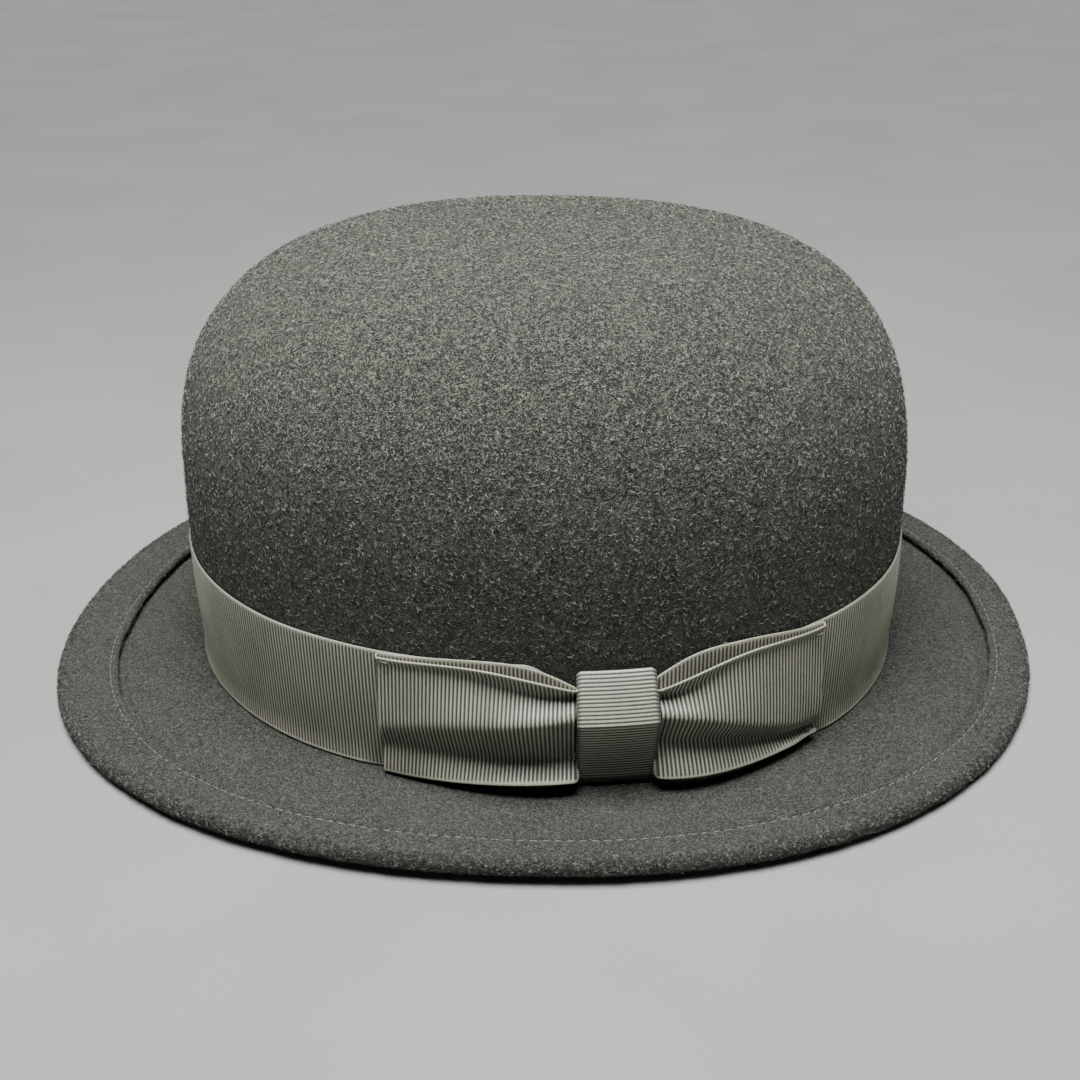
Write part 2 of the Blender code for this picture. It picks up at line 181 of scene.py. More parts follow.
def brim_width(angle):
    inner = oval(*CROWN_BASE, CROWN_OVAL, angle)
    outer = oval(*BRIM, BRIM_OVAL, angle)
    return np.hypot(outer[0] - inner[0], outer[1] - inner[1])


def welt_outward(angle, inset=0.0):
    """How far out along the brim the welt's raw edge lies, or a line inset from it towards the rim."""
    edge = oval(WELT[0] + inset, WELT[1] + inset, BRIM_OVAL, angle)
    outer = oval(*BRIM, BRIM_OVAL, angle)
    shift = WELT_SHIFT * np.cos(angle) ** 2
    return 1 - np.hypot(outer[0] - edge[0] - shift, outer[1] - edge[1]) / brim_width(angle)


def wall_normal(angle, step=0.001):
    before = oval(*CROWN_BASE, CROWN_OVAL, angle - step)
    after = oval(*CROWN_BASE, CROWN_OVAL, angle + step)
    along = np.array([after[0] - before[0], after[1] - before[1]])
    along = along / np.hypot(*along)
    return along[1], -along[0]


def bend_point(radius, turn, angle):
    """Points of the bend between wall and brim: turn runs from 0 at the wall to 1 at the brim."""
    x, y = oval(*CROWN_BASE, CROWN_OVAL, angle)
    normal = wall_normal(angle)
    out = BREAK_RADIUS - radius * math.cos(turn * math.pi / 2)
    height = BREAK_RADIUS - radius * math.sin(turn * math.pi / 2)
    return seat(x + normal[0] * out, y + normal[1] * out, height, angle)


WALK_ANGLES = np.linspace(-TURN, TURN, 16001)
WALK_X, WALK_Y = oval(*CROWN_BASE, CROWN_OVAL, WALK_ANGLES)
WALK = np.concatenate([[0.0], np.cumsum(np.hypot(np.diff(WALK_X), np.diff(WALK_Y)))])
CROWN_ROUND = WALK[-1] / 2  # length once round the foot of the crown


def angle_at(start, arc):
    """The oval's angle at arc lengths from a start angle."""
    return np.interp(np.interp(start, WALK_ANGLES, WALK) + arc, WALK, WALK_ANGLES)


def even_angles(count):
    return angle_at(0.0, np.arange(count) * CROWN_ROUND / count)


def wall_point(start, arc, height, out):
    """Points at an arc length round the wall, a height above the brim, and out from the felt's face."""
    angle = angle_at(start, arc)
    x, y = oval(*CROWN_BASE, CROWN_OVAL, angle)
    level = np.clip(height / WALL_HEIGHT, 0.0, 1.0)
    away = out + WALL_BULGE * (1 - (1 - level) ** 2)
    normal = wall_normal(angle)
    return seat(x + normal[0] * away, y + normal[1] * away, height, angle)


def inside_place(inset, height, angle):
    """Points inset from the crown's outer face, also below the brim's upper face."""
    x, y = oval(*CROWN_BASE, CROWN_OVAL, angle)
    normal = wall_normal(angle)
    return seat(x - normal[0] * inset, y - normal[1] * inset, height, angle)


def waves(position, seed, wavelengths, count=12):
    """A smooth random field of points, about -1 to 1, from plane waves of a range of wavelengths."""
    rng = np.random.default_rng(seed)
    total = 0.0
    for _ in range(count):
        direction = rng.normal(size=3)
        direction *= TURN / rng.uniform(*wavelengths) / np.linalg.norm(direction)
        total = total + np.cos(position @ direction + rng.uniform(0, TURN))
    return total * math.sqrt(2 / count) / 1.5


# ------------------------ meshes and pieces


def make_mesh(name, points, *faces):
    """A smooth-shaded mesh from arrays of faces, each array with its own number of corners."""
    mesh = bpy.data.meshes.new(name)
    corners = np.concatenate([block.ravel() for block in faces])
    sizes = np.concatenate([np.full(len(block), block.shape[1]) for block in faces])
    mesh.vertices.add(len(points))
    mesh.vertices.foreach_set("co", np.asarray(points, dtype=np.float32).ravel())
    mesh.loops.add(len(corners))
    mesh.loops.foreach_set("vertex_index", corners.astype(np.int32))
    mesh.polygons.add(len(sizes))
    mesh.polygons.foreach_set("loop_start", (np.cumsum(sizes) - sizes).astype(np.int32))
    mesh.update(calc_edges=True)
    mesh.shade_smooth()
    return mesh


def grid_faces(rows, columns, wrap_rows, wrap_columns):
    """The quads of a grid of points, counted row by row."""
    index = np.arange(rows * columns).reshape(rows, columns)
    if wrap_rows:
        index = np.vstack([index, index[:1]])
    if wrap_columns:
        index = np.hstack([index, index[:, :1]])
    corners = (index[:-1, :-1], index[:-1, 1:], index[1:, 1:], index[1:, :-1])
    return np.stack([corner.ravel() for corner in corners], axis=1)


def turned_out(points, *faces):
    """The faces of a closed solid, turned round if they bound it inside out."""
    volume = 0.0
    for block in faces:
        for k in range(1, block.shape[1] - 1):
            a, b, c = (points[block[:, corner]] for corner in (0, k, k + 1))
            volume += np.sum(a * np.cross(b, c))
    return faces if volume > 0 else [block[:, ::-1] for block in faces]


def loop_solid(name, rings):
    """A closed solid from rings of points, each ring closed and the last joined to the first."""
    points = np.concatenate(rings)
    quads = grid_faces(len(rings), len(rings[0]), True, True)
    return make_mesh(name, points, *turned_out(points, quads))


def poled_solid(rings, first, last):
    """Points and faces of a closed solid through rings of points, from one pole to another."""
    count = len(rings[0])
    points = np.vstack([*rings, first, last])
    here = np.arange(count)
    following = np.roll(here, -1)
    end = (len(rings) - 1) * count
    start_fan = np.stack([following, here, np.full(count, len(points) - 2)], axis=1)
    end_fan = np.stack([end + here, end + following, np.full(count, len(points) - 1)], axis=1)
    quads = grid_faces(len(rings), count, False, True)
    return points, turned_out(points, quads, start_fan, end_fan)


def normals_of(grid):
    """Unit normals of a grid of points whose last column is next to its first."""
    along = np.roll(grid, -1, axis=1) - np.roll(grid, 1, axis=1)
    normal = np.cross(along, np.gradient(grid, axis=0))
    return normal / np.maximum(np.linalg.norm(normal, axis=-1, keepdims=True), 1e-12)


def tubes(lines, radius, sides=6):
    """Points and quads of round cords along lines (cord, point, xyz), with closed, tapered ends."""
    count, length, _ = lines.shape
    along = np.gradient(lines, axis=1)
    along /= np.linalg.norm(along, axis=-1, keepdims=True)
    up = np.zeros_like(along)
    up[..., 2] = 1.0
    side = np.cross(along, up)
    side /= np.maximum(np.linalg.norm(side, axis=-1, keepdims=True), 1e-9)
    over = np.cross(side, along)
    turn = np.arange(sides) * TURN / sides
    rim = np.cos(turn)[:, None] * side[:, :, None] + np.sin(turn)[:, None] * over[:, :, None]
    points = lines[:, :, None] + np.broadcast_to(radius, (count, length))[..., None, None] * rim
    quads = grid_faces(length, sides, False, True)[:, ::-1]
    each = length * sides
    all_quads = (quads[None] + (np.arange(count) * each)[:, None, None]).reshape(-1, 4)
    caps = np.stack([np.arange(sides), each - 1 - np.arange(sides)])
    caps = (caps[None] + (np.arange(count) * each)[:, None, None]).reshape(-1, sides)
    return points.reshape(-1, 3), all_quads, caps


def piece(mesh, finish, node):
    """Adds a visible piece, which stands for a CAD node if one is named."""
    mesh.materials.append(finish)
    added = bpy.data.objects.new(mesh.name, mesh)
    bpy.context.scene.collection.objects.link(added)
    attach(added, "root")
    if node:
        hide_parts(node)
    return added


# ------------------------ finishes


class Finish:
    """A node-based material under construction. Its textures are laid out in millimetres."""

    def __init__(self, name, roughness, sheen=0.0, sheen_tint=(1.0, 1.0, 1.0)):
        self.material = bpy.data.materials.new(name)
        self.material.use_nodes = True
        self.tree = self.material.node_tree
        self.shader = self.tree.nodes["Principled BSDF"]
        sheen_tint = (*sheen_tint, 1.0)
        self.feed(self.shader, {"Roughness": roughness, "Sheen Weight": sheen, "Sheen Tint": sheen_tint})
        place = self.node("ShaderNodeTexCoord").outputs["Object"]
        self.place = self.vector("SCALE", place, scale=1 / MM)

    def feed(self, node, inputs):
        """Links or sets a node's inputs, by name or by number."""
        for key, value in inputs.items():
            if isinstance(value, bpy.types.NodeSocket):
                self.tree.links.new(value, node.inputs[key])
            else:
                node.inputs[key].default_value = value

    def node(self, kind, inputs=None, **settings):
        made = self.tree.nodes.new(kind)
        for key, value in settings.items():
            setattr(made, key, value)
        self.feed(made, inputs or {})
        return made

    def vector(self, operation, first, second=(0.0, 0.0, 0.0), scale=1.0):
        inputs = {0: first, 1: second, 3: scale}
        return self.node("ShaderNodeVectorMath", inputs, operation=operation).outputs[0]

    def math(self, operation, first, second=0.0):
        return self.node("ShaderNodeMath", {0: first, 1: second}, operation=operation).outputs[0]

    def noise(self, scale, detail=2.0, rough=0.5, place=None, output="Fac"):
        inputs = {"Scale": scale, "Detail": detail, "Roughness": rough, "Vector": place or self.place}
        return self.node("ShaderNodeTexNoise", inputs).outputs[output]

    def warped(self, scale, reach):
        """Places shifted by up to half of reach each way, so that a pattern wanders."""
        shift = self.vector("SUBTRACT", self.noise(scale, output="Color"), (0.5, 0.5, 0.5))
        return self.vector("ADD", self.place, self.vector("SCALE", shift, scale=reach))

    def span(self, value, low, high, new_low=0.0, new_high=1.0):
        """Eases a value's range from low to high into the new one."""
        inputs = {"Value": value, "From Min": low, "From Max": high, "To Min": new_low, "To Max": new_high}
        return self.node("ShaderNodeMapRange", inputs, interpolation_type="SMOOTHSTEP").outputs["Result"]

    def blend(self, share, first, second):
        """A mix of two colours, each a socket or three numbers."""
        inputs = {0: share}
        for key, colour in ((6, first), (7, second)):
            inputs[key] = (*colour, 1.0) if isinstance(colour, tuple) else colour
        return self.node("ShaderNodeMix", inputs, data_type="RGBA").outputs[2]

    def upward(self, vector):
        return self.node("ShaderNodeSeparateXYZ", {0: vector}).outputs["Z"]

    def height(self, low, high, new_low, new_high):
        """A value that changes with the height above the floor, in millimetres."""
        return self.span(self.upward(self.place), low, high, new_low, new_high)

    def attribute(self, name, output="Fac"):
        return self.node("ShaderNodeAttribute", attribute_name=name).outputs[output]

    def bump(self, height, distance, strength):
        inputs = {"Height": height, "Distance": distance, "Strength": strength}
        return self.node("ShaderNodeBump", inputs).outputs["Normal"]

    def done(self, colour, **inputs):
        """The material, with its colour and any other of the shader's inputs."""
        self.feed(self.shader, {"Base Color": colour, **inputs})
        return self.material


def felt_finish():
    """Matted wool: fibres in every direction, the lighter ones a painted highlight of fibres
    catching the light, and faint mottling.

    The brim and the foot of the crown are darker than the dome: painted shade, which dims the
    light fibres lower down.
    """
    finish = Finish("felt", 0.95, sheen=0.05, sheen_tint=(0.80, 0.85, 0.74))
    wander = finish.warped(0.5, 2.2)
    coarse = finish.noise(1.1, 3.0, 0.55, wander)
    fine = finish.noise(3.1, 2.0, 0.6, wander)
    curl = finish.math("ABSOLUTE", finish.math("SUBTRACT", coarse, 0.5))
    fibre = finish.span(curl, 0.01, 0.065, 1.0, 0.0)
    fibre = finish.math("MULTIPLY", fibre, finish.span(fine, 0.35, 0.62, 0.35, 1.0))
    mottle = finish.noise(0.05, 3.0, 0.6)
    # Painted shade: the light fibres fade from the top of the crown down to its foot and the brim.
    crown = finish.height(30.0, 118.0, 0.42, 1.05)
    painted_shade_by_height = finish.math("MULTIPLY", crown, finish.height(8.0, 30.0, 1.15, 1.0))
    base = finish.blend(finish.span(mottle, 0.3, 0.7), (0.010, 0.011, 0.009), (0.017, 0.019, 0.0145))
    # The light fibre colour is a painted highlight, dimmed lower down by the painted shade above.
    colour = finish.blend(finish.math("MULTIPLY", fibre, painted_shade_by_height), base, (0.265, 0.277, 0.220))
    height = finish.math("ADD", finish.math("MULTIPLY", fibre, 0.8), finish.math("ADD", coarse, fine))
    normal = finish.bump(height, 0.55 * MM, 0.9)
    return finish.done(colour, Normal=normal)


def fibre_finish():
    """Loose wool fibres, each its own tone; the lighter ones are a painted highlight, and painted
    shade darkens them lower down.
    """
    finish = Finish("felt_fibres", 0.7)
    # The lighter fibres are a painted highlight of fibres catching the light.
    shade = finish.span(finish.noise(0.9, 1.0), 0.48, 0.62, 0.06, 1.0)
    # Painted shade: the fibres are darker lower down on the hat.
    share = finish.math("MULTIPLY", shade, finish.height(5.0, 118.0, 0.45, 1.0))
    return finish.done(finish.blend(share, (0.010, 0.011, 0.009), (0.345, 0.361, 0.293)))


def ribbon_finish(name, dark, light):
    """Grosgrain: rounded ribs wrapped in fine thread, with painted highlight along the crests and
    the selvedges and painted shade in the valleys between the ribs.
    """
    finish = Finish(name, 0.4)
    finish.feed(finish.shader, {"Specular IOR Level": 0.9})
    # The crest attribute is painted light: highlight on crests and selvedges, shade in the valleys.
    crest = finish.attribute("crest")
    thread = finish.noise(4.5, 2.0, 0.6)
    patch = finish.noise(0.09, 3.0, 0.55)
    share = finish.span(crest, 0.12, 0.95)
    share = finish.math("MULTIPLY", share, finish.span(patch, 0.25, 0.75, 0.8, 1.0))
    share = finish.math("ADD", share, finish.span(thread, 0.3, 0.7, -0.16, 0.16))
    normal = finish.bump(thread, 0.15 * MM, 0.7)
    rough = finish.span(crest, 0.0, 1.0, 0.75, 0.36)
    return finish.done(finish.blend(share, dark, light), Roughness=rough, Normal=normal)


def thread_finish():
    finish = Finish("thread", 0.55)
    ply = finish.noise(3.0, 2.0, 0.6)
    colour = finish.blend(finish.span(ply, 0.3, 0.7), (0.06, 0.063, 0.05), (0.16, 0.168, 0.136))
    return finish.done(colour, Normal=finish.bump(ply, 0.1 * MM, 0.7))


def leather_finish():
    """Smooth sweatband leather with fine pores, and a faint polish from wear."""
    finish = Finish("leather", 0.45)
    inputs = {"Scale": 1.7, "Vector": finish.warped(0.6, 1.0)}
    cells = finish.node("ShaderNodeTexVoronoi", inputs, feature="DISTANCE_TO_EDGE")
    crease = finish.span(cells.outputs["Distance"], 0.0, 0.18)
    wear = finish.noise(0.05, 3.0, 0.6)
    base = finish.blend(finish.span(wear, 0.3, 0.7), (0.040, 0.024, 0.015), (0.072, 0.044, 0.027))
    colour = finish.blend(finish.math("MULTIPLY", crease, 0.8), (0.022, 0.013, 0.009), base)
    rough = finish.span(wear, 0.3, 0.7, 0.52, 0.36)
    return finish.done(colour, Roughness=rough, Normal=finish.bump(crease, 0.1 * MM, 0.5))


def satin_finish():
    """Satin: a fine diagonal weave, with a soft gloss."""
    finish = Finish("satin", 0.32, sheen=0.3)
    finish.feed(finish.shader, {"Anisotropic": 0.5})
    inputs = {"Scale": 1.6, "Distortion": 0.6, "Vector": finish.place}
    weave = finish.node("ShaderNodeTexWave", inputs, bands_direction="DIAGONAL").outputs["Fac"]
    cloud = finish.noise(0.06, 2.0)
    colour = finish.blend(finish.span(cloud, 0.3, 0.7), (0.018, 0.019, 0.018), (0.024, 0.026, 0.023))
    rough = finish.span(cloud, 0.3, 0.7, 0.28, 0.38)
    return finish.done(colour, Roughness=rough, Normal=finish.bump(weave, 0.03 * MM, 0.5))


def reed_finish():
    """The reed's drawn plastic: faint lengthwise streaks."""
    finish = Finish("reed", 0.4)
    streak = finish.noise(0.8, 3.0)
    colour = finish.blend(finish.span(streak, 0.3, 0.7), (0.30, 0.27, 0.21), (0.40, 0.37, 0.30))
    return finish.done(colour, Normal=finish.bump(streak, 0.05 * MM, 0.4))


def floor_finish():
    finish = Finish("floor", 0.75)
    cloud = finish.noise(0.01, 2.0)
    colour = finish.blend(finish.span(cloud, 0.3, 0.7), (0.25, 0.25, 0.246), (0.27, 0.27, 0.266))
    return finish.done(colour)


# ------------------------ felt


def crown_levels(step):
    """Levels from the crown's top down to its wall's foot, about a step apart along the profile."""
    dense = np.linspace(2.0, 0.0, 4001)
    profile = crown_point(0.0, dense, 0.0)
    length = np.concatenate([[0.0], np.cumsum(np.linalg.norm(np.diff(profile, axis=0), axis=1))])
    wanted = np.linspace(0.7 * step, length[-1], int(length[-1] / step))
    return np.interp(wanted, length, dense)


def welt_profile():
    """The folded edge from its stitched slot to the rim: (out from the raw edge, lift) in millimetres."""
    slot = [(-2.6, 2.4), (-1.8, 2.15), (-1.1, 1.6), (0.2, 1.3), (1.5, 1.4), (1.8, 1.9), (1.3, 2.4)]
    raw = [(0.5, 2.8), (0.15, 3.3), (0.12, 3.9), (0.3, 4.4), (0.6, 4.7), (1.05, 4.82)]
    groove = [(1.5, 4.72), (1.85, 4.52), (2.2, 4.42), (2.55, 4.52), (2.95, 4.72), (3.6, 4.8)]
    return [(out * MM, lift * MM) for out, lift in slot + raw + groove]


def make_felt_hat(finish):
    """Crown and brim in one felt, with the welt's crease, groove and rounded rim.

    Returns its points, its quads, and each point's kind.
    """
    angle = even_angles(FELT_SEGMENTS)
    width = brim_width(angle)
    circle = np.stack([np.cos(angle), np.sin(angle), 0 * angle], axis=1)
    wander = RAW_EDGE_WANDER * waves(circle, 5, (0.05, 0.25))
    rings = []
    kinds = []

    def ring(points, kind):
        rings.append(points)
        kinds.append(kind)

    for level in crown_levels(1.6 * MM):
        covered = level < (BAND_FOOT + RIBBON_WIDTH) / WALL_HEIGHT
        ring(crown_point(0.0, level, angle), BARE if covered else CROWN)
    for turn in (0.35, 0.7):
        ring(bend_point(BREAK_RADIUS, turn, angle), BARE)
    edge = welt_outward(angle)
    profile = welt_profile()
    for share in np.linspace(0.03, 1.0, 17)[:-1]:
        ring(brim_point(share * (edge + profile[0][0] / width), FELT, angle), BRIM_TOP)
    for out, lift in profile:
        loose = wander * smooth((3.2 * MM - out) / (2 * MM))
        ring(brim_point(edge + (out + loose) / width, lift, angle), BRIM_TOP)
    last = edge + profile[-1][0] / width
    for share in (0.25, 0.5, 0.75, 1.0):
        ring(brim_point(mix(last, 1 - FELT / width, share), 2 * FELT, angle), BRIM_TOP)
    for turn in np.radians(np.arange(15, 180, 15)):
        out = FELT * (1 - math.sin(turn))
        ring(brim_point(1 - out / width, FELT * (1 + math.cos(turn)), angle), RIM)
    for share in np.linspace(1.0, 0.05, 20):
        ring(brim_point(share * (1 - FELT / width), 0.0, angle), UNDERSIDE)
    for turn in (0.75, 0.4):
        ring(bend_point(BREAK_RADIUS + FELT, turn, angle), BARE)
    for level in np.concatenate([np.linspace(0.05, 1.5, 14), np.linspace(1.56, 1.97, 10)]):
        ring(crown_point(FELT, level, angle), BARE)

    points, faces = poled_solid(rings, crown_point(0.0, 2.0, 0.0), crown_point(FELT, 2.0, 0.0))
    mesh = make_mesh("felt_hat", points, *faces)
    normal = np.empty(len(points) * 3, dtype=np.float32)
    mesh.vertices.foreach_get("normal", normal)
    normal = normal.reshape(-1, 3)
    kind = np.append(np.repeat(kinds, FELT_SEGMENTS), [CROWN, BARE])
    amount = np.choose(kind, (0.0, 1.0, 0.8, 0.9, 0.0)) * UNEVEN
    shift = amount * (0.6 * waves(points, 1, (0.012, 0.05)) + 0.4 * waves(points, 2, (0.004, 0.012)))
    points = points + normal * shift[:, None]
    mesh.vertices.foreach_set("co", points.astype(np.float32).ravel())
    mesh.update()
    piece(mesh, finish, "felt_body")
    return points, faces[0], kind


def make_nap(name, finish, points, quads, kind, wanted, seed, length, raised):
    """Loose fibres rooted in the felt's rings of the wanted kinds: closed, bent, tapering slivers.

    length and raised are the ranges of their length, and of how steeply they rise.
    """
    rng = np.random.default_rng(seed)
    high = points[quads, 2].min(axis=1) > NAP_FOOT
    chosen = quads[np.isin(kind[quads[:, 0]], wanted) & high]
    a, b, c, d = (points[chosen[:, k]] for k in range(4))
    normal = np.cross(c - a, d - b)
    area = np.linalg.norm(normal, axis=1)
    normal /= area[:, None]
    pick = rng.choice(len(chosen), FIBRES_PER_PIECE, p=area / area.sum())
    u, v = rng.random((2, FIBRES_PER_PIECE, 1))
    root = mix(mix(a[pick], b[pick], u), mix(d[pick], c[pick], u), v)
    normal = normal[pick]
    random_way = rng.normal(size=(FIBRES_PER_PIECE, 3))
    lie = np.cross(normal, random_way)
    lie /= np.linalg.norm(lie, axis=1, keepdims=True)
    side = np.cross(normal, lie)
    reach = rng.uniform(*length, (FIBRES_PER_PIECE, 1))
    rise = rng.uniform(*raised, (FIBRES_PER_PIECE, 1))
    bend = rng.normal(0, 0.28, (FIBRES_PER_PIECE, 1))
    root = root - 0.08 * MM * normal
    middle = root + reach * (0.5 * lie + rise * 0.6 * normal + bend * side)
    tip = root + reach * (0.95 * lie + rise * normal - 0.3 * bend * side)
    radius = FIBRE_RADIUS * rng.uniform(0.7, 1.3, (FIBRES_PER_PIECE, 1))
    over = np.cross(side, lie)
    made = []
    for centre, share in ((root, 1.0), (middle, 0.85)):
        for turn in (0.0, TURN / 3, 2 * TURN / 3):
            made.append(centre + radius * share * (math.cos(turn) * side + math.sin(turn) * over))
    made.append(tip)
    vertices = np.stack(made, axis=1).reshape(-1, 3)
    first = (np.arange(FIBRES_PER_PIECE) * len(made))[:, None, None]
    walls = np.array([(0, 3, 4, 1), (1, 4, 5, 2), (2, 5, 3, 0)])
    ends = np.array([(0, 1, 2), (3, 6, 4), (4, 6, 5), (5, 6, 3)])
    walls, ends = ((block[None] + first).reshape(-1, block.shape[1]) for block in (walls, ends))
    piece(make_mesh(name, vertices, walls, ends), finish, None)


def make_stitches(name, line, count, sizes, finish, node):
    """A row of separate stitches along a closed line, each an arch whose ends go into the cloth.

    line gives the points at shares of its length and heights over it. sizes are the thread's radius,
    how deep the ends go and how high the arch rises, in millimetres.
    """
    radius, sink, rise = (size * MM for size in sizes)
    share = np.linspace(-0.5, 0.5, 7)
    where = (np.arange(count)[:, None] + STITCH_SHARE * share) / count
    arch = mix(rise, -sink, (2 * np.abs(share)) ** 4)
    lines = line(where, np.broadcast_to(arch, where.shape))
    thick = radius * (1 - 0.35 * (2 * np.abs(share)) ** 4)
    points, quads, caps = tubes(lines, thick[None])
    piece(make_mesh(name, points, quads, caps), finish, node)


def make_welt_stitches(finish):
    def line(where, rise):
        angle = angle_at(0.0, where * CROWN_ROUND)
        return brim_point(welt_outward(angle, STITCH_INSET), 2 * FELT - 0.46 * MM + rise, angle)

    make_stitches("welt_stitches", line, WELT_STITCHES, (0.2, 0.35, 0.16), finish, "welt_thread")


# ------------------------ ribbons


def ribbon_solid(name, grid, across, path, finish, node, ribs=RIB_HEIGHT, selvedge_highlight=0.85):
    """A closed loop of grosgrain from its middle surface.

    grid holds the points, by place across the ribbon and along its path. across gives each row's
    distance from the ribbon's first edge, and path each column's distance along the loop. pale is
    how much painted highlight lightens the selvedges.
    """
    width = across[-1]
    normal = normals_of(grid)
    edge = np.minimum(across, width - across)[:, None]
    body = smooth(edge / SELVEDGE - 0.4)
    phase = 0.5 + 0.5 * np.cos(TURN * path / RIB_PITCH)[None]
    wander = 0.12 * waves(grid, 11, (0.004, 0.02))
    crest = phase * mix(0.45, 1.0, body)
    loops = 0.75 + 0.25 * np.cos(TURN * path / RIB_PITCH * 2)[None]
    cord = 0.3 * (1 - body) * smooth(edge / (0.25 * MM)) * loops
    rounding = mix(0.45, 1.0, smooth(edge / (0.22 * MM)))
    lift = RIBBON / 2 * rounding + ribs * (crest * (1 + wander) + cord)
    outer = grid + normal * lift[..., None]
    inner = grid - normal * (RIBBON / 2 * rounding + 0.15 * ribs * crest)[..., None]
    rings = list(outer) + list(inner[::-1])
    mesh = loop_solid(name, rings)
    # Painted light for the colour: highlight on the rib crests and selvedges, shade in the valleys.
    painted_rib_light = np.clip(crest + selvedge_highlight * loops * (1 - body), 0.0, 1.0)
    values = np.concatenate([painted_rib_light, painted_rib_light[::-1]]).ravel()
    attribute = mesh.attributes.new("crest", "FLOAT", "POINT")
    attribute.data.foreach_set("value", values.astype(np.float32))
    return piece(mesh, finish, node)


def ribbon_rows(width, middle):
    """Distances across a ribbon: close together in its selvedges, and a number of rows between."""
    edge = np.array([0.0, 0.12, 0.35, 0.6, 0.9, 1.25]) * SELVEDGE
    between = np.linspace(edge[-1], width - edge[-1], middle + 2)[1:-1]
    return np.concatenate([edge, between, (width - edge)[::-1]])


def band_top(arc):
    """Height of the band's upper edge along the wall: the knot draws it down behind the bow."""
    away = np.abs(arc - KNOT_MIDDLE)
    away = np.minimum(away, CROWN_ROUND - away)
    return BAND_FOOT + RIBBON_WIDTH - BAND_DIP * (1 - smooth((away - 9 * MM) / (14 * MM)))


def make_band(finish):
    """The ribbon round the crown."""
    ribs = round(CROWN_ROUND / RIB_PITCH)
    columns = ribs * COLUMNS_PER_RIB
    where = np.arange(columns) / columns * CROWN_ROUND
    across = ribbon_rows(RIBBON_WIDTH, 6)
    height = BAND_FOOT + (across / RIBBON_WIDTH)[:, None] * (band_top(where) - BAND_FOOT)
    clear = np.minimum(np.abs(where - BOW_ENDS[1]), np.abs(where - BOW_ENDS[0] - CROWN_ROUND))
    clear = np.where((where > BOW_ENDS[1]) & (where < BOW_ENDS[0] + CROWN_ROUND), clear, 0.0)
    flare = 0.8 * MM * smooth(clear / (9 * MM)) * (1 - smooth(height / (3.2 * MM)))
    ripple = 0.12 * MM * waves(wall_point(LEFT, where[None], height, 0.0), 21, (0.02, 0.06))
    out = 0.55 * MM + flare + ripple
    grid = wall_point(LEFT, where[None], height, out)
    path = where * ribs * RIB_PITCH / CROWN_ROUND
    band = ribbon_solid("hat_band", grid, across, path, finish, "ribbon_band")


def eased(heights, places, values):
    """Values at heights, eased between those given at rising places, column by column."""
    result = np.broadcast_to(values[0], heights.shape).copy()
    for low, high, start, end in zip(places, places[1:], values, values[1:]):
        share = np.clip((heights - low) / np.maximum(high - low, 1e-6), 0.0, 1.0)
        share = mix(share, smooth(share), 0.35)
        result = np.where(heights >= low, mix(start, end, share), result)
    return result


def wing(arc):
    """Tells which arcs are on the bow's left wing, and how far each is from the knot to the wing's end.

    The left wing is the one on the left as one faces the bow, towards the hat's front.
    """
    left = arc < KNOT_MIDDLE
    knot = np.where(left, *KNOT_EDGES)
    end = np.where(left, *BOW_ENDS)
    return left, np.clip((arc - knot) / (end - knot), 0.0, 1.0)


def top_edge(d, start, rise, reach, power, droop):
    """Heights of a layer's top edge, which climbs from the knot to a reach, and droops to its end."""
    climb = 1 - (1 - np.minimum(d / reach, 1.0)) ** power
    return start + rise * climb - droop * smooth((d - 0.5) / 0.5)


def front_layer(arc, share):
    """Heights and distances out of the bow's front layer, at arcs and shares of its height.

    From its lower edge up, the gathered ribbon leans in to a trough, out to a ridge, in to a crease
    under the top edge, and out again to that edge. The folds fade out towards the ends of the wings.
    The folds are worked out in millimetres.
    """
    left, d = wing(arc)
    swell = np.sin(math.pi * d ** 0.7)
    foot = mix(5.2, np.where(left, 1.0, 3.4), smooth(d * 1.1)) + np.where(left, 0.9, 0.0) * swell
    tops = (top_edge(d, 32.2, 5.4, 0.52, 2, 1.4), top_edge(d, 31.0, 6.8, 0.55, 2, 1.4))
    top = np.where(left, *tops)
    trough = np.where(left, mix(9.6, 9.0, d), mix(14.2, 5.0, smooth(d) ** 1.2))
    ridge = np.where(left, mix(26.0, 15.6, d ** 1.4), mix(24.8, 8.6, smooth(d)))
    crease = np.where(left, 29.4, 28.2)
    crease = mix(crease, top - 2.2, smooth(d / np.where(left, 0.62, 0.4)))
    deep = np.where(left, mix(1.0, 0.3, smooth(d) ** 1.5), mix(0.8, 0.4, smooth(d)))
    open_top = 1 - smooth(d / np.where(left, 0.95, 0.45))
    body = WING_END / MM + 2.1 * swell * (1 - 0.4 * d) + 1.9 * (1 - smooth(d / 0.8))
    outs = (
        body + np.where(left, 2.8, 3.6) * deep + 0.6 * swell,
        body - 2.9 * deep,
        body + (3.2 + 1.1 * swell) * deep,
        body - 2.6 * open_top - 0.9 * (1 - open_top),
        body + 0.8 * open_top + 0.1,
    )
    height = mix(foot, top, share)
    out = eased(height, (foot, trough, ridge, crease, top), outs)
    return height * MM, out * MM


def back_layer(arc, share):
    """Heights and distances out of the bow's back layer, flat on the band."""
    left, d = wing(arc)
    tops = (top_edge(d, 31.2, 6.6, 0.5, 2.5, 0.8), top_edge(d, 33.0, 6.2, 0.42, 2.2, 2.2))
    top = np.where(left, *tops)
    foot = mix(4.4, 1.2, smooth(d / 0.5))
    out = BACK_LAYER / MM + 0.25 * np.sin(math.pi * share) + 0.8 * (1 - smooth(d / 0.25))
    return mix(foot, top, share) * MM, out * MM


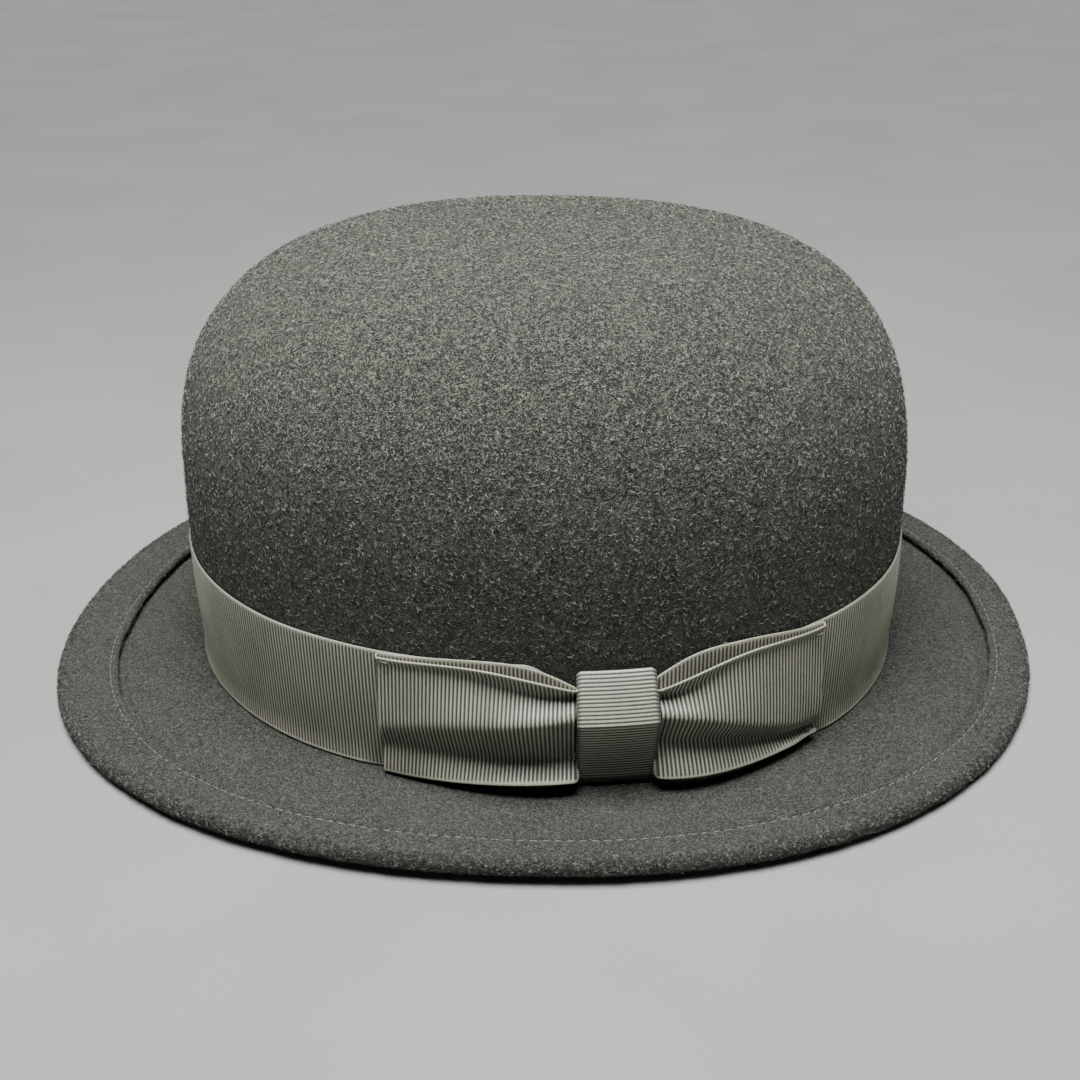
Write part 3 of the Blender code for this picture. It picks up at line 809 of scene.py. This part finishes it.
def loop_path(low, high, radius):
    """A flattened loop of ribbon, along its front layer from low to high and back along the other.

    Returns places along it, their arcs, how far each has turned to the back layer, and the loop's
    length and number of ribs.
    """
    flat = high - low
    fold = math.pi * radius
    total = 2 * flat + 2 * fold
    ribs = round(total / RIB_PITCH)
    columns = ribs * (COLUMNS_PER_RIB + 1)
    path = np.arange(columns) / columns * total
    turned = np.clip((path - flat) / fold, 0, 1) - np.clip((path - 2 * flat - fold) / fold, 0, 1)
    arc = np.interp(path, (0, flat, flat + fold, 2 * flat + fold, total), (low, high, high, low, low))
    side = np.where(path < flat + fold, 1, -1)
    return path, arc + side * radius * np.sin(math.pi * turned), turned, total, ribs


def make_bow(finish):
    """The bow's loop: a front layer, a back layer, and a tight fold at each end."""
    radius = 0.55 * MM
    path, arc, turned, total, ribs = loop_path(BOW_ENDS[0] + radius, BOW_ENDS[1] - radius, radius)
    turned = (0.5 - 0.5 * np.cos(math.pi * turned))[None]
    across = ribbon_rows(RIBBON_WIDTH, 26)
    share = (across / RIBBON_WIDTH)[:, None]
    front = front_layer(arc[None], share)
    back = back_layer(arc[None], share)
    height = mix(front[0], back[0], turned)
    out = mix(front[1], back[1], turned)
    along = (arc[None] - BOW_ENDS[1] + 3.5 * MM) / (4 * MM)
    dent = np.exp(-(along ** 2) - ((height - 5.5 * MM) / (4 * MM)) ** 2)
    out = out - 0.7 * MM * dent * (1 - turned)
    beside_knot = smooth((np.abs(arc - KNOT_MIDDLE) - 8.6 * MM) / (1.6 * MM))[None]
    out = mix(np.minimum(out, 3.4 * MM), out, np.maximum(beside_knot, turned))
    grid = wall_point(LEFT, arc[None], height, out)
    bow = ribbon_solid("bow", grid, across, path * ribs * RIB_PITCH / total, finish, "bow_loop")


def rounded_path(corners, step_count):
    """A closed path through softened corners, resampled evenly: returns points and the length."""
    path = np.array(corners, dtype=float)
    for _ in range(4):
        following = np.roll(path, -1, axis=0)
        path = np.stack([mix(path, following, 0.25), mix(path, following, 0.75)], axis=1).reshape(-1, 2)
    closed = np.vstack([path, path[:1]])
    length = np.concatenate([[0.0], np.cumsum(np.hypot(*np.diff(closed, axis=0).T))])
    wanted = np.arange(step_count) / step_count * length[-1]
    return np.stack([np.interp(wanted, length, closed[:, k]) for k in (0, 1)], axis=1), length[-1]


def make_knot(name, start, edges, corners, finish, node, side=1, pinch=0.35 * MM):
    """A strip wrapped round the middle of a bow, from the corners (out, height) of its section."""
    _, length = rounded_path(corners, 8)
    ribs = round(length / RIB_PITCH)
    columns = ribs * (COLUMNS_PER_RIB + 2)
    section, length = rounded_path(corners, columns)
    width = edges[1] - edges[0]
    across = ribbon_rows(width, 12)
    arc = (edges[0] + across)[:, None]
    middle = section.mean(axis=0)
    near_edge = 1 - smooth(np.minimum(across, width - across) / (1.2 * MM))
    curl = 1 - pinch / np.hypot(*(section - middle).T).mean() * near_edge
    out = middle[0] + (section[:, 0] - middle[0])[None] * curl[:, None]
    height = middle[1] + (section[:, 1] - middle[1])[None] * curl[:, None]
    grid = wall_point(start, arc, height, side * out)
    path = np.arange(columns) / columns * ribs * RIB_PITCH
    if side < 0:
        grid = grid[:, ::-1]
    return ribbon_solid(name, grid, across, path, finish, node, selvedge_highlight=0.0), (width, length)


def make_bow_knot(finish):
    corners = [(1.25, 3.6), (3.6, 3.4), (4.4, 8.0), (9.4, 23.4), (9.4, 24.4), (2.4, 35.8), (1.25, 35.4)]
    corners = [(out * MM, height * MM) for out, height in corners]
    knot, flat = make_knot("bow_knot_ribbon", LEFT, KNOT_EDGES, corners, finish, "bow_knot")


def make_tacks(finish):
    """Three small tacks: a few strands of thread over each other at the corners of the bow."""
    rng = np.random.default_rng(7)
    places = (
        ("bow_tack_front", BOW_ENDS[0] + 2.6 * MM, 35.3 * MM, 3.3 * MM),
        ("bow_tack_back", BOW_ENDS[1] - 2.8 * MM, 35.0 * MM, 3.3 * MM),
        ("bow_tack_back_low", BOW_ENDS[1] - 3.2 * MM, 5.2 * MM, 2.9 * MM),
    )
    for node, arc, height, out in places:
        share = np.linspace(-1, 1, 9)[None]
        lean = rng.uniform(-0.5, 0.5, (4, 1))
        shift = rng.uniform(-0.35, 0.35, (4, 1)) * MM
        run = arc + 1.0 * MM * share
        rise = height + 0.6 * MM * lean * share + shift
        away = out + 0.25 * MM * (1 - share ** 4) + 0.08 * MM * np.arange(4)[:, None]
        points, quads, caps = tubes(wall_point(LEFT, run, rise, away), 0.13 * MM)
        piece(make_mesh(node + "_thread", points, quads, caps), finish, node)


# ------------------------ inside the crown


def make_sweatband(finish):
    """The leather band, curled round the reed at its foot."""
    angle = even_angles(SWEATBAND_SEGMENTS)
    back = SWEATBAND_INSET
    face = back + LEATHER
    wall = [(face, h * MM) for h in np.linspace(30.6, 12.0, 14)]
    curl = [(0.15, 9.0), (0.4, 5.0), (0.62, 3.0), (0.8, 1.5), (0.85, 0.5), (0.7, -0.3), (0.4, -0.9)]
    curl += [(0.0, -1.3)]
    tuck = [(-0.5, -1.6), (-0.1, -1.6), (-0.3, -0.8), (0.4, -0.5), (0.75, 0.0), (0.8, 1.5), (0.4, 5.0)]
    tuck += [(0.0, 12.0)]
    outline = [(back + 0.45 * MM, SWEATBAND_TOP), (face - 0.1 * MM, SWEATBAND_TOP - 0.1 * MM)] + wall
    outline += [(face + inset * MM, height * MM) for inset, height in curl]
    outline += [(back + inset * MM, height * MM) for inset, height in tuck]
    outline += [(back, 22.0 * MM), (back, SWEATBAND_TOP - 0.3 * MM)]
    rings = []
    for inset, height in outline:
        place = inside_place(inset, height, angle)
        ripple = 0.25 * MM * waves(place, 31, (0.02, 0.07)) * smooth(height / (20 * MM))
        rings.append(inside_place(inset + ripple, height, angle))
    band = piece(loop_solid("leather_sweatband", rings), finish, "sweatband")


def make_reed(finish):
    rings = []
    for turn in np.arange(10) * TURN / 10:
        inset = REED_INSET + REED_RADIUS * math.cos(turn)
        height = REED_HEIGHT + REED_RADIUS * math.sin(turn)
        rings.append(inside_place(inset, height, even_angles(SWEATBAND_SEGMENTS)))
    piece(loop_solid("reed", rings), finish, "sweatband_reed")


def make_sweatband_stitches(finish):
    """The seam beside the reed, and the row of stitches above it."""

    def seam(where, rise):
        return inside_place(2.55 * MM, -1.3 * MM - rise, angle_at(0.0, where * CROWN_ROUND))

    def row(where, rise):
        inset = SWEATBAND_INSET + LEATHER + 0.28 * MM + rise
        return inside_place(inset, 7.0 * MM, angle_at(0.0, where * CROWN_ROUND))

    count = SWEATBAND_STITCHES
    make_stitches("sweatband_seam", seam, count, (0.2, 0.3, 0.18), finish, "sweatband_thread")
    make_stitches("sweatband_top_stitches", row, count, (0.17, 0.3, 0.12), finish, None)


def satin_rings(levels, inward):
    """Rings of points along a satin sheet's inner face, and back along its outer one.

    inward gives how far the sheet lies in from its true place, at an inset and a level.
    """
    angle = even_angles(LINING_SEGMENTS)
    rings = []
    for inset, order in ((LINING_INSET + SATIN, levels), (LINING_INSET, levels[::-1])):
        for level in order:
            rings.append(crown_point(inset + inward(inset, level), level, angle))
    return rings


def make_lining_side(finish):
    """The satin wall, with pleats sewn in at its foot, and gathers into the tip's seam."""
    angle = even_angles(LINING_SEGMENTS)
    where = np.arange(LINING_SEGMENTS) / LINING_SEGMENTS
    foot = LINING_FOOT / WALL_HEIGHT

    def inward(_, level):
        pleats = 0.16 * MM * smooth(1 - (level - foot) / 0.5) * np.cos(TURN * 60 * where)
        sway = TURN * 48 * where + 0.8 * np.sin(TURN * 5 * where)
        gathers = 0.22 * MM * smooth((level - 1.25) / 0.3) * np.cos(sway)
        ripple = 0.18 * MM * waves(crown_point(LINING_INSET, level, angle), 41, (0.012, 0.04))
        return 0.1 * MM + pleats + gathers + ripple * smooth((level - foot) / 0.2)

    levels = np.concatenate([np.linspace(foot, 1.0, 16), np.linspace(1.04, SEAM_LEVEL - 0.02, 22)])
    mesh = loop_solid("lining_side_satin", satin_rings(levels, inward))
    side = piece(mesh, finish, "lining_side")


def make_lining_tip(finish):
    """The satin oval under the crown's top, cut with 3 mm of seam allowance."""
    angle = even_angles(LINING_SEGMENTS)

    def inward(inset, level):
        return 0.2 * MM + 0.12 * MM * waves(crown_point(inset, level, angle), 43, (0.02, 0.06))

    levels = np.concatenate([np.linspace(1.995, 1.92, 7), np.linspace(1.9, SEAM_LEVEL + 0.02, 16)])
    rings = satin_rings(levels, inward)
    points, faces = poled_solid(rings, rings[0].mean(axis=0), rings[-1].mean(axis=0))
    mesh = make_mesh("lining_tip_satin", points, *faces)
    tip = piece(mesh, finish, "lining_tip")


def make_piping(finish):
    """The twisted satin cord over the seam of side and tip."""
    where = np.arange(LINING_SEGMENTS) / LINING_SEGMENTS
    centre = crown_point(LINING_INSET + SATIN + 0.7 * MM, SEAM_LEVEL, even_angles(LINING_SEGMENTS))
    radial = centre - centre.mean(axis=0)
    radial[:, 2] = 0
    radial /= np.linalg.norm(radial, axis=1, keepdims=True)
    rings = []
    for turn in np.arange(12) * TURN / 12:
        size = 0.62 * MM * (1 + 0.12 * np.cos(2 * (turn - TURN * 60 * where)))
        across = (size * math.cos(turn))[:, None] * radial
        rings.append(centre + across + (size * math.sin(turn))[:, None] * [0, 0, 1])
    piece(loop_solid("lining_cord", rings), finish, "lining_piping")


def make_lining_stitches(finish):
    def line(where, rise):
        angle = angle_at(0.0, where * CROWN_ROUND)
        return inside_place(3.25 * MM + rise, LINING_FOOT - 2 * MM, angle)

    make_stitches("lining_stitches", line, LINING_STITCHES, (0.2, 0.4, 0.15), finish, "lining_thread")


def make_small_bow(finish):
    """The little bow over the sweatband's joint."""
    half = 13 * MM
    base = SWEATBAND_INSET + LEATHER + 1.75 * MM
    foot = 3.0 * MM
    width = 8.0 * MM
    radius = 0.32 * MM
    path, arc, turned, _, _ = loop_path(radius - half, half - radius, radius)
    across = ribbon_rows(width, 6)
    share = (across / width - 0.5)[:, None]
    waist = mix(0.6, 1.0, smooth((np.abs(arc) - 2 * MM) / (8 * MM)))[None]
    height = foot + width / 2 + share * width * waist
    puff = 0.25 * MM * np.sin(math.pi * np.abs(arc) / half)
    out = base + radius * (1 + np.cos(math.pi * turned)) + puff * (1 - turned)
    grid = wall_point(BACK, arc[None], height, -np.broadcast_to(out[None], height.shape))
    # Its selvedges get a faint painted highlight.
    ribbon_solid("small_bow", grid[:, ::-1], across, path, finish, "sweatband_bow", 0.08 * MM, 0.1)
    low, high = foot + 1.1 * MM, foot + width - 1.1 * MM
    near, far = base - 0.45 * MM, base + 1.15 * MM
    corners = [(near, low), (far, low), (far + 0.2 * MM, (low + high) / 2), (far, high), (near, high)]
    edges = (-1.8 * MM, 1.8 * MM)
    make_knot("small_bow_knot", BACK, edges, corners, finish, "sweatband_bow_knot", -1, 0.1 * MM)


# ------------------------ stage, light and camera


def make_floor():
    """A wide round floor whose edge curves up, from radii and heights in metres."""
    profile = ((1.0, 0.0), (4.0, 0.0), (9.0, 0.0), (10.5, 0.15), (11.6, 0.6), (12.3, 1.4), (12.6, 3.0))
    sides = 64
    here = np.arange(sides)
    turn = here * TURN / sides
    rings = [np.stack([r * np.cos(turn), r * np.sin(turn), 0 * turn + z], axis=1) for r, z in profile]
    middle = np.stack([here, np.roll(here, -1), np.full(sides, sides * len(rings))], axis=1)
    points = np.vstack(rings + [np.zeros((1, 3))])
    mesh = make_mesh("floor", points, grid_faces(len(rings), sides, False, True)[:, ::-1], middle)
    mesh.materials.append(floor_finish())
    floor = bpy.data.objects.new("floor", mesh)
    floor.location.z = -0.05 * MM
    bpy.context.scene.collection.objects.link(floor)


def make_light(name, kind, place, aim, energy):
    data = bpy.data.lights.new(name, kind)
    data.energy = energy
    lamp = bpy.data.objects.new(name, data)
    lamp.location = place
    lamp.rotation_euler = (Vector(aim) - Vector(place)).to_track_quat("-Z", "Y").to_euler()
    bpy.context.scene.collection.objects.link(lamp)
    return data


def make_lights():
    """A soft key light over the hat's left side, a wide soft light overhead, and a faint sky."""
    key = make_light("key", "AREA", place=(0.0, -0.17, 0.60), aim=(0.0, -0.03, 0.08), energy=6.0)
    key.size = 0.3
    overhead = make_light("overhead", "SUN", place=(0.0, -0.14, 1.0), aim=(0, 0, 0), energy=4.5)
    overhead.angle = math.radians(36)
    world = bpy.data.worlds.new("studio")
    world.use_nodes = True
    background = world.node_tree.nodes["Background"]
    background.inputs["Color"].default_value = (0.90, 0.95, 1.0, 1.0)
    background.inputs["Strength"].default_value = 0.03
    bpy.context.scene.world = world


def make_camera():
    data = bpy.data.cameras.new("camera")
    data.lens = 50
    data.sensor_width = 36
    data.clip_start = 0.01
    camera = bpy.data.objects.new("camera", data)
    azimuth = math.radians(CAMERA_AZIMUTH)
    tilt = math.radians(90 - CAMERA_ELEVATION)
    turn = Matrix.Rotation(azimuth, 4, "Z") @ Matrix.Rotation(tilt, 4, "X")
    turn = turn @ Matrix.Rotation(math.radians(CAMERA_ROLL), 4, "Z")
    camera.matrix_world = Matrix.Translation(CAMERA_PLACE) @ turn
    bpy.context.scene.collection.objects.link(camera)
    bpy.context.scene.camera = camera


def main():
    make_camera()
    make_floor()
    make_lights()
    felt = felt_finish()
    fibres = fibre_finish()
    # The near-black is painted shade for the valleys between the ribs, the light colour a painted
    # highlight for crests and selvedges.
    ribbon = ribbon_finish("grosgrain", (0.008, 0.008, 0.006), (0.40, 0.40, 0.31))
    thread = thread_finish()
    felt_hat = make_felt_hat(felt)
    for k in range(4):
        name = f"crown_nap_{k + 1}"
        make_nap(name, fibres, *felt_hat, (CROWN,), 50 + k, (1.0 * MM, 2.4 * MM), (0.12, 0.4))
    make_nap("rim_nap", fibres, *felt_hat, (RIM,), 70, (0.7 * MM, 1.6 * MM), (0.15, 0.4))
    for k in range(2):
        name = f"brim_nap_{k + 1}"
        make_nap(name, fibres, *felt_hat, (BRIM_TOP, RIM), 60 + k, (0.7 * MM, 1.7 * MM), (0.1, 0.35))
    make_welt_stitches(thread)
    make_band(ribbon)
    make_bow(ribbon)
    make_bow_knot(ribbon)
    make_tacks(thread)
    make_sweatband(leather_finish())
    make_reed(reed_finish())
    make_sweatband_stitches(thread)
    satin = satin_finish()
    make_lining_side(satin)
    make_lining_tip(satin)
    make_piping(satin)
    make_lining_stitches(thread)
    make_small_bow(ribbon)


main()
